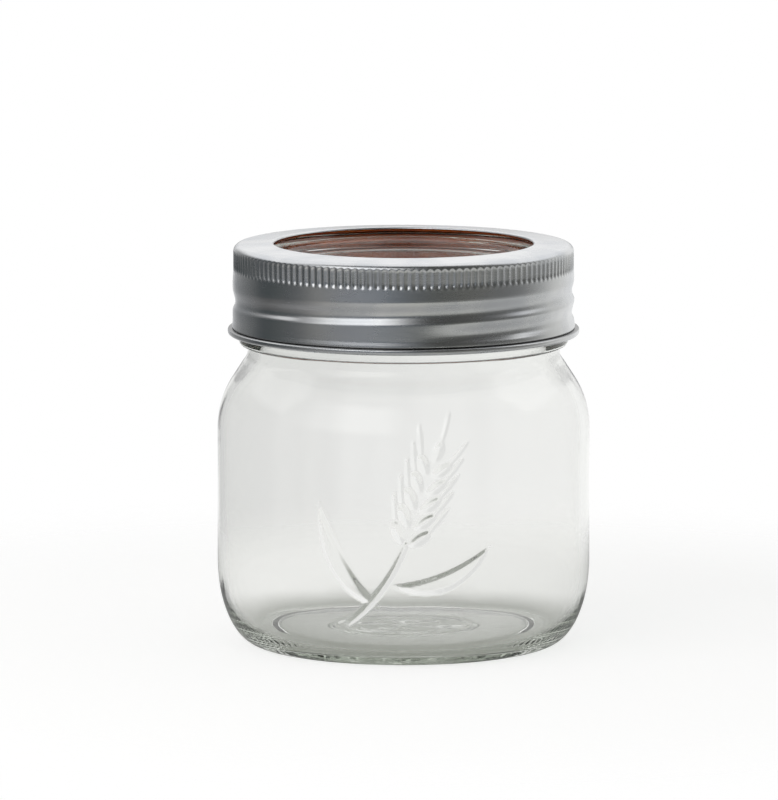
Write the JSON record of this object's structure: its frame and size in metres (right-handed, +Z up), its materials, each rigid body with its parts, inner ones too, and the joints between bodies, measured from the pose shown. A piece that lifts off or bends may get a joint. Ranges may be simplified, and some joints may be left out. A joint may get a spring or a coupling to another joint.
{
  "type": "preserving jar",
  "caption": "Half-litre glass preserving jar with a dished glass lid, a rubber ring and a knurled metal screw band, used to hold a sourdough starter.",
  "frame": {"origin": "centre of the base, on the surface that the jar stands on", "axes": "+Z up along the jar's axis, -Y towards the viewer of the picture"},
  "size_m": [0.1, 0.1, 0.108],
  "materials": {
    "glass": "clear, polished",
    "tinplate": "bright",
    "rubber": "satin"
  },
  "bodies": {
    "jar": {"glass_jar": "glass"},
    "lid": {"lid_insert": "glass", "sealing_ring": "rubber"},
    "band": {"screw_band": "tinplate"}
  },
  "joints": [
    {"name": "lid_lift", "type": "slide", "parent": "jar", "child": "lid", "axis": [0, 0, 1], "range_m": [0, 0.023]},
    {"name": "band_turn", "type": "hinge", "parent": "lid", "child": "band", "pos_m": [0, 0, 0.09], "axis": [0, 0, 1], "range_deg": [0, 1440]}
  ],
  "couplings": [
    {"joint": "lid_lift", "follows": "band_turn", "m_per_rad": 0.00091514}
  ]
}
